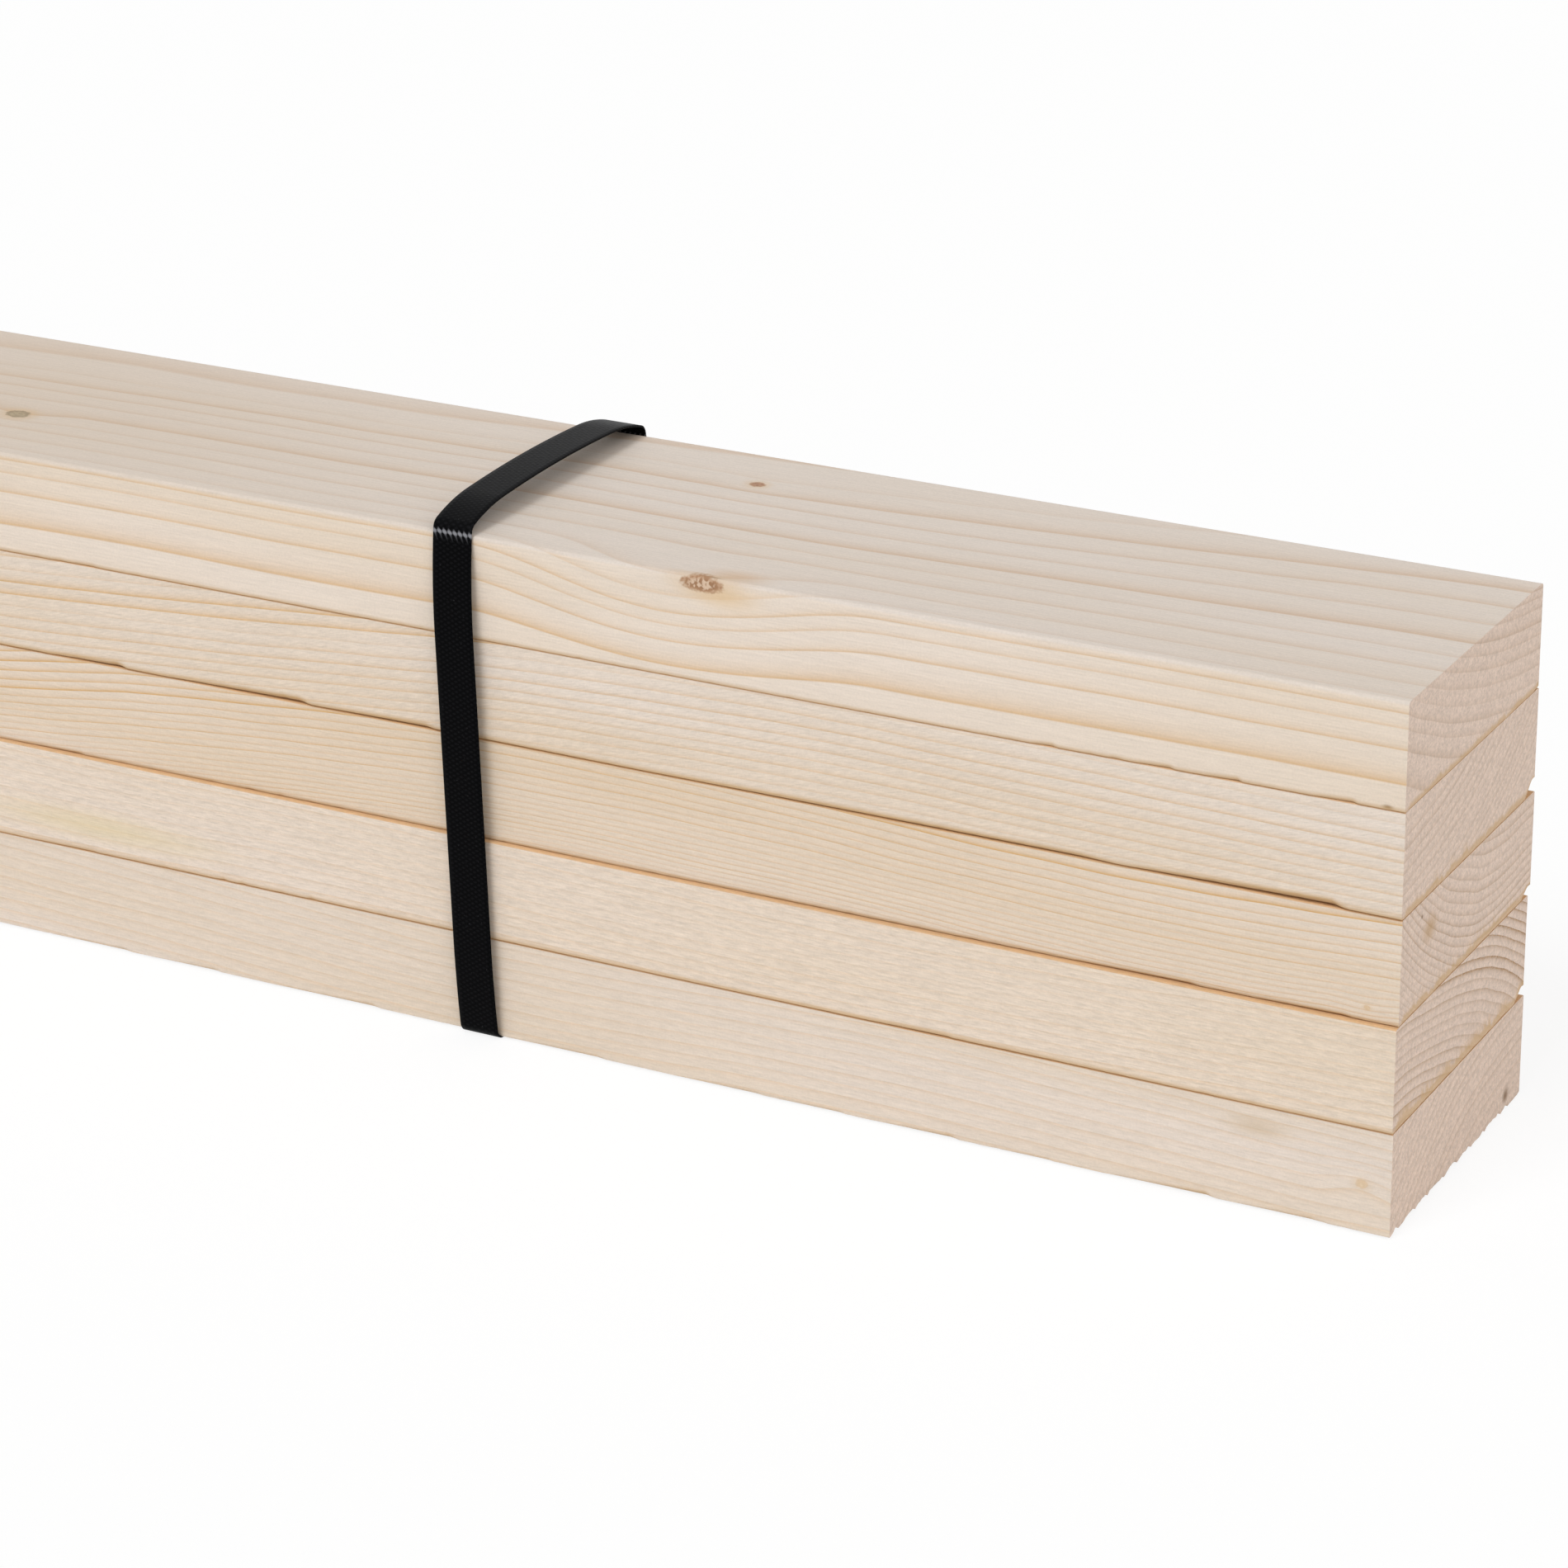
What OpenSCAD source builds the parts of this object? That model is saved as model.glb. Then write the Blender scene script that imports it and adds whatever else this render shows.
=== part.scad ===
// Bundle of planed pine studs, piled flat in one column and held by two plastic straps.
// Millimetres. X runs along the studs, Y across their width, Z up from the floor.
// The origin is on the floor, under the middle of the pile.

/* [Studs] */
// Thickness of one stud, after planing
stud_t = 38; // [25:1:60]
// Width of one stud, after planing
stud_w = 120; // [75:1:220]
// Length of the studs
stud_len = 2400; // [1500:100:6000]
// Radius planed on the four long arrises
arris_r = 1.5; // [0.5:0.5:6]
// Most that a stud steps sideways out of line in the pile
side_step = 1.2; // [0:0.1:3]

/* [Straps] */
// Width of the band
strap_w = 15.5; // [9:0.5:25]
// Thickness of the band
strap_t = 0.8; // [0.4:0.1:1.5]
// From the end of the studs to the middle of the nearest band
strap_inset = 351; // [150:1:650]
// How far the band drifts along the studs between top and bottom
strap_drift = 4.2; // [0:0.1:12]
// Height of the slack arch over the top stud
arch_h = 8.6; // [3:0.1:12]
// From the edge of the stud to where each shoulder of the arch meets its crown
shoulder_l = 22; // [16:1:34]
// Length of the welded lap on the back of the band
lap_l = 45; // [20:1:90]

/* [Hidden] */

// Room between the band and the wood that it wraps
strap_gap = 0.1;
// How far the slack band bellies clear of a stud that stands out of line
belly_room = 2;
// How far the lower fold stands off the side of the pile
low_room = 2;
// Overrun of every cutting shape
over = 5;

// Sideways place of each stud, bottom to top, as shares of side_step
side_shares = [0, -0.6, 1, 0.4, 0];
// Height of the middle of the welded lap, as a share of the pile's height
lap_height_share = 0.5;
// Stretch at the foot and at the head of a side in which the band swings out to its belly, as a
// share of the pile's height
swing_share = 0.2;
// Inner radius of the fold that stands over the top stud, and the height of its middle above
// that stud, as shares of arch_h
top_fold_share = 0.38;
top_fold_rise_share = 0.05;
// Rise of the crown, as a share of arch_h if it reached from edge to edge
crown_share = 0.2;

// Steps that each fold, swing, shoulder and half crown of the band is drawn in
fold_steps = 6;
swing_steps = 5;
shoulder_steps = 8;
crown_steps = 6;
// Sides of the circle that rounds an arris
arris_sides = 48;

// Pale colours of the studs, bottom to top, and the black of the band
stud_tints = ["#e6d6c2", "#e4d2bc", "#e2cfb6", "#e5d4be", "#e8d8c3"];
strap_tint = "#17181a";

stud_count = len(side_shares);
pile_h = stud_count * stud_t;
// The pile lies on the bands, which pass under it
floor_z = strap_t + strap_gap;

// Lower front fold, seen along the studs: the stiff band turns wider than the arris inside it
low_fold_r = arris_r + low_room;
low_fold = [-stud_w / 2 + arris_r, strap_t + low_fold_r];
// Upper front fold: the band stands a little above the pile before it turns
top_fold_r = arch_h * top_fold_share;
top_fold = [-stud_w / 2 - strap_gap + top_fold_r, floor_z + pile_h + arch_h * top_fold_rise_share];

// Radius of the wide arc that leaves a fold and comes to a point, which is given from the
// middle of the fold, with its outward normal there
function leave_r(fold_r, point, normal) = (point * point - fold_r ^ 2) / (2 * (point * normal - fold_r));
// Direction from one point to another, from 0 to 360 degrees
function heading(from, to) = (atan2(to.y - from.y, to.x - from.x) + 360) % 360;

// The belly of a side is upright between its foot and its head
belly_x = -stud_w / 2 - strap_gap - belly_room - side_step;
belly_normal = [-1, 0];
belly_foot = [belly_x, floor_z + pile_h * swing_share];
low_swing_r = leave_r(low_fold_r, belly_foot - low_fold, belly_normal);
low_swing_mid = belly_foot - low_swing_r * belly_normal;
low_swing_from = heading(low_swing_mid, low_fold);
belly_head = [belly_x, floor_z + pile_h * (1 - swing_share)];
top_swing_r = leave_r(top_fold_r, belly_head - top_fold, belly_normal);
top_swing_mid = belly_head - top_swing_r * belly_normal;
top_swing_to = heading(top_swing_mid, top_fold);

// The crown is level over the middle of the pile
crown_half = stud_w / 2 - shoulder_l;
crown_rise = arch_h * crown_share * crown_half / (stud_w / 2);
crown_top = [0, floor_z + pile_h + arch_h];
crown_turn = 2 * atan(crown_rise / crown_half);
crown_r = crown_half / sin(crown_turn);
crown_mid = crown_top - [0, crown_r];

// The shoulder leaves the upper fold and runs into the crown
shoulder_normal = [-sin(crown_turn), cos(crown_turn)];
shoulder_end = crown_mid + crown_r * shoulder_normal;
shoulder_r = leave_r(top_fold_r, shoulder_end - top_fold, shoulder_normal);
shoulder_mid = shoulder_end - shoulder_r * shoulder_normal;
shoulder_from = heading(shoulder_mid, top_fold);

// Height of the whole bundle, and half its width over the welded lap
bundle_h = crown_top.y + strap_t;
bundle_half_w = -belly_x + 2 * strap_t;

// Points of an arc, with its end point left to the next stretch
function arc(mid, r, from, to, steps) =
  [for (k = [0 : steps - 1]) let (a = from + (to - from) * k / steps) mid + r * [cos(a), sin(a)]];

// Front half of the band's loop, from under the pile to the crown of the arch
function half_loop(grow) = concat(
  arc(low_fold, low_fold_r + grow, 270, low_swing_from, fold_steps),
  arc(low_swing_mid, low_swing_r + grow, low_swing_from, 180, swing_steps),
  [belly_foot + grow * belly_normal],
  arc(top_swing_mid, top_swing_r + grow, 180, top_swing_to, swing_steps),
  arc(top_fold, top_fold_r + grow, top_swing_to, shoulder_from, fold_steps),
  arc(shoulder_mid, shoulder_r + grow, shoulder_from, 90 + crown_turn, shoulder_steps),
  arc(crown_mid, crown_r + grow, 90 + crown_turn, 90, crown_steps)
);

// Whole loop, grown outwards from the face that lies on the wood
module loop(grow) {
  front = half_loop(grow);
  back = [for (k = [len(front) - 1 : -1 : 0]) [-front[k].x, front[k].y]];
  polygon(concat(front, [crown_top + [0, grow]], back));
}

// The band seen along the studs: one turn, and the lap where its ends are welded
module band() {
  difference() {
    union() {
      loop(strap_t);
      intersection() {
        loop(2 * strap_t);
        translate([0, floor_z + pile_h * lap_height_share - lap_l / 2])
          square([bundle_half_w + over, lap_l]);
      }
    }
    loop(0);
  }
}

// How far the band has drifted towards the end of the studs at a height
function drift_at(z) = strap_drift * (1 / 2 - z / bundle_h);

// Slanted slab that cuts the band to its width
module drift_slab() {
  low = -over;
  high = bundle_h + over;
  rotate([90, 0, 0])
    linear_extrude(2 * (bundle_half_w + over), center = true)
      polygon([
        [drift_at(low) - strap_w / 2, low],
        [drift_at(low) + strap_w / 2, low],
        [drift_at(high) + strap_w / 2, high],
        [drift_at(high) - strap_w / 2, high]
      ]);
}

// The strap near the right end of the studs
module strap() {
  color(strap_tint)
    translate([stud_len / 2 - strap_inset, 0, 0])
      intersection() {
        rotate([90, 0, 90])
          linear_extrude(strap_w + strap_drift + over, center = true)
            band();
        drift_slab();
      }
}

// Section of a stud: a rectangle with its four arrises rounded
module section() {
  square([stud_w - 2 * arris_r, stud_t], center = true);
  square([stud_w, stud_t - 2 * arris_r], center = true);
  for (side = [-1, 1], face = [-1, 1])
    translate([side * (stud_w / 2 - arris_r), face * (stud_t / 2 - arris_r)])
      circle(arris_r, $fn = arris_sides);
}

// One stud, counted from the bottom of the pile
module stud(number) {
  level = number - 1;
  color(stud_tints[level])
    translate([0, side_step * side_shares[level], floor_z + stud_t * (level + 1 / 2)])
      rotate([90, 0, 90])
        linear_extrude(stud_len, center = true)
          section();
}

module stud_1() stud(1);
module stud_2() stud(2);
module stud_3() stud(3);
module stud_4() stud(4);
module stud_5() stud(5);
module strap_right() strap();
module strap_left() mirror([1, 0, 0]) strap();

stud_1();
stud_2();
stud_3();
stud_4();
stud_5();
strap_left();
strap_right();
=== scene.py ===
"""Looks of a strapped bundle of planed pine studs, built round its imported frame.

Sizes are in millimetres in each piece's own frame, and become metres when a mesh is placed.
"""
import logging
import math
import random
from bisect import bisect
from collections import defaultdict
from dataclasses import dataclass, field
from enum import Enum

import bmesh
import bpy
from mathutils import Matrix, Vector, noise


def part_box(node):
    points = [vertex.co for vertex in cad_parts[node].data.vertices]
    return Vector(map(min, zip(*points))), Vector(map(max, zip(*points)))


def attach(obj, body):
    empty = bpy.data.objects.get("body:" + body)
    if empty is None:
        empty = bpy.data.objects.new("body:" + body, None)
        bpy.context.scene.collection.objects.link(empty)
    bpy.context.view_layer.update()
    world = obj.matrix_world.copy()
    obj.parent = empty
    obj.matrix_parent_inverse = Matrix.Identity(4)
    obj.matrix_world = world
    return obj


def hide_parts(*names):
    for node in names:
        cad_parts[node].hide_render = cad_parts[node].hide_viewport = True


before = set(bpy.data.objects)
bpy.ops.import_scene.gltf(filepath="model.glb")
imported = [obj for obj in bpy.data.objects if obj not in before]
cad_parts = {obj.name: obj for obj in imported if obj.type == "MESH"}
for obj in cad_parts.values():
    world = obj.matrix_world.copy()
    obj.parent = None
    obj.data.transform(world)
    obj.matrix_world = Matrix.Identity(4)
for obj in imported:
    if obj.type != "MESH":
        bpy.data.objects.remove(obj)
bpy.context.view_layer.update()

LOG = logging.getLogger("pine_bundle")
MM = 0.001
BODY = "root"
# Distance that counts as nothing, in millimetres
TINY = 1e-4

Pair = tuple[float, float]
Triple = tuple[float, float, float]
Socket = bpy.types.NodeSocket


def linear(colour: str) -> tuple[float, float, float, float]:
    """Turn an sRGB hex colour into linear light.

    Args:
        colour: Six hex digits after a hash sign.

    Returns:
        Red, green, blue and an alpha of one.
    """
    shares = [int(colour[k:k + 2], 16) / 255 for k in (1, 3, 5)]
    light = [s / 12.92 if s <= 0.04045 else ((s + 0.055) / 1.055) ** 2.4 for s in shares]
    return (*light, 1.0)


def ease(value: float, low: float, high: float) -> float:
    """Smooth step of a value from 0 at low to 1 at high."""
    t = min(1.0, max(0.0, (value - low) / (high - low)))
    return t * t * (3 - 2 * t)


def fade(distance: float, reach: float) -> float:
    """Weight that falls from 1 at no distance to 0 at the reach."""
    return max(0.0, 1 - distance / reach)


def part_of(one: float, other: float) -> float:
    """Share of the first of two distances in their sum, or a half where both are nothing."""
    return one / (one + other) if one + other > TINY else 0.5


class Nodes:
    """Node tree of a material or a world, emptied and then filled node by node."""

    def __init__(self, holder: bpy.types.Material | bpy.types.World) -> None:
        """Empty the holder's tree."""
        holder.use_nodes = True
        self.tree = holder.node_tree
        self.tree.nodes.clear()

    def put(self, kind: str, feeds: dict | tuple, out: int | str = 0, **settings) -> Socket | None:
        """Add one node with its settings and what feeds it.

        Args:
            kind: Type of the node, without its ShaderNode prefix.
            feeds: A socket, a value or a hex colour for each input, in order, or by name or number.
            out: Output to hand on, by name or number.
            settings: Values of the node's own properties.

        Returns:
            The output, or None for a node without outputs.
        """
        made = self.tree.nodes.new("ShaderNode" + kind)
        for name, value in settings.items():
            setattr(made, name, value)
        for key, value in feeds.items() if isinstance(feeds, dict) else enumerate(feeds):
            if isinstance(value, Socket):
                self.tree.links.new(value, made.inputs[key])
            else:
                made.inputs[key].default_value = linear(value) if isinstance(value, str) else value
        return made.outputs[out] if made.outputs else None


def add_object(name: str, data: bpy.types.ID) -> bpy.types.Object:
    """New object in the scene, at the origin."""
    made = bpy.data.objects.new(name, data)
    bpy.context.scene.collection.objects.link(made)
    return made


def keep_piece(bm: bmesh.types.BMesh, node: str, finish: bpy.types.Material,
               sharp_deg: float) -> bpy.types.Object:
    """Make a finished mesh the piece that stands for a node of the frame.

    Args:
        bm: Mesh in metres, in the frame's own place; it is freed here.
        node: Node that the piece replaces.
        finish: Material of the piece.
        sharp_deg: Angle above which an edge is shaded as sharp.

    Returns:
        The new object.
    """
    bmesh.ops.recalc_face_normals(bm, faces=bm.faces)
    mesh = bpy.data.meshes.new(node + "_dressed")
    bm.to_mesh(mesh)
    bm.free()
    mesh.polygons.foreach_set("use_smooth", [True] * len(mesh.polygons))
    mesh.set_sharp_from_angle(angle=math.radians(sharp_deg))
    mesh.materials.append(finish)
    piece = add_object(node + "_dressed", mesh)
    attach(piece, BODY)
    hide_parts(node)
    LOG.info("%s: %d faces, finish %s", node, len(mesh.polygons), finish.name)
    return piece


@dataclass(frozen=True)
class KnotLook:
    """Colours of a knot.

    Attributes:
        core: Colour of the branch's wood.
        fleck: Colour of the flecks and rings in it.
        rim: Colour of the bark line round it.
        halo: Strength of the warm, resin-stained wood round it.
        cover: How far it covers the colour of the wood.
    """
    core: str
    fleck: str
    rim: str
    halo: float
    cover: float


class KnotKind(Enum):
    """How a branch looks where the plane cut it."""
    PIN = KnotLook("#d3b284", "#dcc19a", "#cfae84", 0.2, 0.55)
    SMALL = KnotLook("#a87f62", "#8f6248", "#b18b6c", 0.35, 0.9)
    GREY = KnotLook("#9a8a70", "#a9987c", "#8a7a60", 0.45, 0.85)
    FLECKED = KnotLook("#99704f", "#d2b79e", "#ab8260", 0.3, 0.95)
    SOUND = KnotLook("#b98a5f", "#a06f48", "#8a5a38", 0.55, 0.95)


@dataclass(frozen=True)
class Bend:
    """A place where the rings bulge round a branch.

    Attributes:
        at: Middle of the bulge, in the stud's own frame.
        rise: How far the rings shift outwards there.
        size: Half its length in each direction.
    """
    at: Triple
    rise: float
    size: Triple


@dataclass(frozen=True)
class Knot:
    """A branch that grew through the stud.

    Attributes:
        at: Middle of the knot on the face, in the stud's own frame.
        aim: Direction in which the branch grew.
        radius: Half the branch's thickness.
        kind: How it looks.
        stretch: Length along the grain, as a multiple of its thickness.
        reach: How far it shows, along its aim, to either side of the middle.
        swell: How far the rings bend outwards round it.
        spread: Size of the bend along the grain and across it.
    """
    at: Triple
    aim: Triple
    radius: float
    kind: KnotKind
    stretch: float
    reach: float
    swell: float
    spread: Pair = (40.0, 22.0)

    @property
    def bend(self) -> Bend:
        """The bulge of the rings round the knot."""
        along, across = self.spread
        return Bend(self.at, self.swell, (along, across, across))


@dataclass(frozen=True)
class Stain:
    """A soft patch of another colour.

    Attributes:
        at: Middle of the patch, in the stud's own frame.
        size: Half its length in each direction.
        colour: Its colour.
        strength: Share of that colour in the middle.
    """
    at: Triple
    size: Triple
    colour: str
    strength: float


@dataclass(frozen=True)
class Sweep:
    """A stretch where the stem bent, so that the grain climbs across the stud.

    Attributes:
        start: Where the stretch begins, along the stud.
        end: Where it ends.
        rise: How far the rings shift over it.
    """
    start: float
    end: float
    rise: float


@dataclass(frozen=True)
class EvenRings:
    """Year rings whose width changes evenly with the distance from the pith.

    Attributes:
        start: Distance from the pith at which ring 0 begins.
        width: Width of a ring there.
        gain: How much wider a ring gets for each millimetre further out.
    """
    start: float
    width: float
    gain: float

    # Keeps the logarithm clear of zero
    least = 0.02

    def count(self, nodes: Nodes, radius: Socket) -> Socket:
        """Number of the ring at a distance from the pith, which is a logarithm.

        Args:
            nodes: Nodes of the wood.
            radius: The distance.

        Returns:
            The number, with the share of the year after the point.
        """
        rate = self.gain / self.width
        grown = nodes.put("Math", (radius, rate, 1 - self.start * rate), operation="MULTIPLY_ADD")
        grown = nodes.put("Math", (grown, self.least), operation="MAXIMUM")
        grown = nodes.put("Math", (grown, math.e), operation="LOGARITHM")
        return nodes.put("Math", (grown, self.gain), operation="DIVIDE")


@dataclass(frozen=True)
class MarkedRings:
    """Year rings that end at measured distances from the pith.

    Attributes:
        first: Number of the first ring.
        marks: The distances, from the start of the first ring.
    """
    first: int
    marks: tuple[float, ...]

    def count(self, nodes: Nodes, radius: Socket) -> Socket:
        """Number of the ring at a distance from the pith, off a curve through the marks.

        Args:
            nodes: Nodes of the wood.
            radius: The distance.

        Returns:
            The number, with the share of the year after the point.
        """
        inner, outer = self.marks[0], self.marks[-1]
        last = len(self.marks) - 1
        share = nodes.put("MapRange", (radius, inner, outer))
        share = nodes.put("FloatCurve", {"Value": share})
        mapping = share.node.mapping
        for number, mark in enumerate(self.marks[1:-1], 1):
            mapping.curves[0].points.new((mark - inner) / (outer - inner), number / last)
        for point in mapping.curves[0].points:
            point.handle_type = "VECTOR"
        mapping.update()
        return nodes.put("Math", (share, float(last), float(self.first)), operation="MULTIPLY_ADD")


@dataclass(frozen=True)
class Pine:
    """Pine, kiln-dried, planed on its long faces, sawn on its ends and left bare.

    The eye gets a pale cream ground, tan lines of latewood that are sharp on the bark side and
    soft on the pith side, a fine silky fibre along the grain and pinker, duller end grain. The
    rings are round the pith of the stem that the stud was cut from, so that the lines of the
    faces meet the arcs of the ends.

    Attributes:
        seed: Shifts every pattern, so that no two studs are alike.
        pith: Place of the pith across the stud, from the middle of its section.
        rings: Year rings round it.
        ground: Colour of the earlywood.
        warm: Colour that it drifts to in soft clouds.
        contrast: Strength of the lines on the long faces.
        end_contrast: Strength of the arcs on the ends.
        fuzz: Strength of the raised, fluffy fibre.
        fuzz_slant_deg: Slant of that fibre against the length.
        bold: Numbers of the rings with wide, dark latewood.
        crisp: Sharpness of the dark lines, from the softest ring to the crispest.
        wander: How far the rings stray from true circles.
        upper: Painted shade on the upper face and its arrises: golden on the lower studs, for the light
            bounced about in the seams, and grey on the top stud, for the dimmer light from above that also
            dulls its arris.
        upper_shade_share: Share of that colour.
        sweeps: Bends of the stem.
        bends: Bulges of the rings round branches that the saw took away.
        knots: Branches.
        stains: Patches of another colour.
    """
    seed: float
    pith: Pair
    rings: EvenRings | MarkedRings
    ground: str
    warm: str
    contrast: float
    end_contrast: float
    fuzz: float
    fuzz_slant_deg: float = 0.0
    bold: tuple[int, ...] = ()
    crisp: Pair = (4.0, 8.0)
    wander: float = 5.0
    # Painted shade of the upper face and its arrises
    upper: str = "#d2a26c"
    upper_shade_share: float = 0.8
    sweeps: tuple[Sweep, ...] = ()
    bends: tuple[Bend, ...] = ()
    knots: tuple[Knot, ...] = ()
    stains: tuple[Stain, ...] = ()

    def material(self, name: str, centre: Vector) -> bpy.types.Material:
        """Material of that name, for a stud with its middle at that place in metres."""
        return PineNodes(self, name, centre).build()


class PineNodes(Nodes):
    """Nodes of one stud's wood, from the rings up to the shader."""
    late = "#d0a468"
    # Latewood under the painted shade of the upper faces
    upper_shade_late = "#c39d76"
    end_ground = "#d5c0b1"
    end_late = "#97703f"
    # Golden tan of torn fibre, partly painted shade, which also paints the shade along the seams
    torn_and_shade_colour = "#c29e6e"
    resin_colour = "#d0ae80"
    # Length and breadth of the waves that bend the rings, and each wave's share of the wander
    waves = (((420.0, 150.0), 1.0), ((70.0, 26.0), 0.1), ((36.0, 4.0), 0.02))
    wave_gain = 4.0
    # A wood fibre is a few hundredths of a millimetre wide; drawn coarser so that it shows
    fibre_mm = (24.0, 0.7)
    fluff_mm = (4.0, 0.6)
    cloud_mm = (240.0, 34.0)
    # Tooth marks of the saw, drawn coarser so that they show
    saw_mm = 0.8
    ragged_mm = 1.4
    # How far one unit of the seed shifts each pattern
    wave_shift = 3.7
    fibre_shift = 5.3
    cloud_shift = 9.1
    # Darkness of the lines from ring to ring, and what a bold ring adds
    dark_span = (0.3, 0.8)
    bold_gain = 0.3
    # Share of the slow darkening before each line, also of a bold one, and how slow it is
    soft = 0.2
    bold_soft = 0.5
    slow = 2.2
    # Growth stops at once in autumn, so the outer side of each dark line is sharp
    stop_span = (1.0, 0.95)
    end_crisp = 3.2
    cloud_span = (0.3, 0.7)
    # Slopes between which a face turns into the upper one or into an end, as shares of its normal
    upper_span = (0.1, 0.5)
    sawn_span = (0.55, 0.85)
    # Share of the lines' contrast that the painted shade of the upper face takes
    upper_fade = 0.5
    # Light and shade of the fine fibre, the raised fibre and the specks
    fibre_light = 0.18
    fluff_light = 0.4
    speck_light = 0.14
    # How the saw broke the arcs of the ends, and its light and shade
    broken_from = (0.35, 0.65)
    broken_to = (0.6, 1.4)
    sawn_from = (0.7, 1.3)
    sawn_to = (0.85, 1.15)
    # Outline of a knot, in multiples of its radius, and its flecks
    knot_stray = 0.6
    knot_fade = 0.8
    halo_span = (2.6, 0.9)
    rim_span = (0.6, 1.0)
    inside_span = (1.2, 0.9)
    fleck_span = (0.45, 0.6)
    bump = 0.4
    bump_mm = 0.25
    rough_from = (-0.3, 0.3)
    rough_to = (0.56, 0.68)
    ior = 1.5
    gloss = 0.3

    def __init__(self, pine: Pine, name: str, centre: Vector) -> None:
        """Start the nodes with the places and the patterns that the layers share.

        Args:
            pine: The wood.
            name: Name of the material.
            centre: Middle of the stud, in metres.
        """
        self.pine = pine
        self.finish = bpy.data.materials.new(name)
        super().__init__(self.finish)
        place = self.put("TexCoord", {}, "Object")
        self.own = self.put("Mapping", {"Vector": place, "Location": -centre / MM, "Scale": (1 / MM,) * 3})
        self.normal = self.put("TexCoord", {}, "Normal")
        self.fibre = self._streaks(self.fibre_mm, 0.0)
        self.fluff = self._streaks(self.fluff_mm, pine.fuzz_slant_deg)
        self.grit, self.ragged = (
            self.put("TexNoise", {"Vector": self.own, "Scale": 1 / size, "Detail": 1.0}, out)
            for size, out in ((self.saw_mm, 0), (self.ragged_mm, 1)))
        sawn = self.put("SeparateXYZ", {"Vector": self.normal}, "X")
        sawn = self.put("Math", (sawn,), operation="ABSOLUTE")
        self.sawn = self.put("MapRange", (sawn, *self.sawn_span))

    def build(self) -> bpy.types.Material:
        """Lay the colours over one another and finish the shader.

        Returns:
            The material.
        """
        line, young, dark = self._rings()
        colour = self._ends(self._faces(line), young, dark)
        for stain in self.pine.stains:
            share = self._patch(stain.at, stain.size, stain.strength)
            colour = self.put("Mix", {0: share, 6: colour, 7: stain.colour}, 2, data_type="RGBA")
        for knot in self.pine.knots:
            colour = self._knotted(colour, knot)
        # Torn fibre and the painted shade along the seams, in one golden tan
        torn_and_shade = self.put("Attribute", {}, "Fac", attribute_name="torn_and_shade", attribute_type="GEOMETRY")
        colour = self.put("Mix", {0: torn_and_shade, 6: colour, 7: self.torn_and_shade_colour}, 2, data_type="RGBA")
        # The fibre stands a little proud
        height = self.put("Math", (self.fluff, self.pine.fuzz, self.fibre), operation="MULTIPLY_ADD")
        height = self.put("Mix", {0: self.sawn, 2: height, 3: self.grit}, 0, data_type="FLOAT")
        bump = self.put("Bump", {"Height": height, "Strength": self.bump, "Distance": self.bump_mm * MM})
        rough = self.put("MapRange", (self.fibre, *self.rough_from, *self.rough_to))
        shader = self.put("BsdfPrincipled", {"Base Color": colour, "Roughness": rough, "Normal": bump,
                                             "IOR": self.ior, "Specular IOR Level": self.gloss})
        self.put("OutputMaterial", {"Surface": shader})
        return self.finish

    def _pattern(self, place: Socket, size: Pair, shift: float, detail: float = 1.0, out: int = 0) -> Socket:
        """Noise that is stretched along the stud.

        Args:
            place: Place in the stud's own frame.
            size: Length and breadth of its spots.
            shift: How far the pattern is shifted.
            detail: Finer layers in it.
            out: Zero for a value, one for a colour.

        Returns:
            The noise.
        """
        along, across = size
        place = self.put("Mapping", {"Vector": place, "Location": (shift,) * 3,
                                     "Scale": (1 / along, 1 / across, 1 / across)})
        return self.put("TexNoise", {"Vector": place, "Scale": 1.0, "Detail": detail}, out)

    def _streaks(self, size: Pair, slant_deg: float) -> Socket:
        """Fine streaks along the grain.

        Args:
            size: Length and breadth of a streak.
            slant_deg: Slant against the length, seen from the front.

        Returns:
            A value round zero.
        """
        turned = self.put("Mapping", {"Vector": self.own, "Rotation": (0.0, math.radians(slant_deg), 0.0)})
        streak = self._pattern(turned, size, self.pine.seed * self.fibre_shift, 2.0)
        return self.put("Math", (streak, 0.5), operation="SUBTRACT")

    def _patch(self, at: Triple, size: Triple, most: float) -> Socket:
        """Soft round patch.

        Args:
            at: Its middle, in the stud's own frame.
            size: Half its length in each direction.
            most: Its value in the middle.

        Returns:
            The value, which is zero outside.
        """
        near = self.put("Mapping", {"Vector": self.own, "Scale": [1 / s for s in size],
                                    "Location": [-a / s for a, s in zip(at, size)]})
        near = self.put("VectorMath", (near,), "Value", operation="LENGTH")
        return self.put("MapRange", (near, 1.0, 0.0, 0.0, most),
                        interpolation_type="SMOOTHSTEP")

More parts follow.
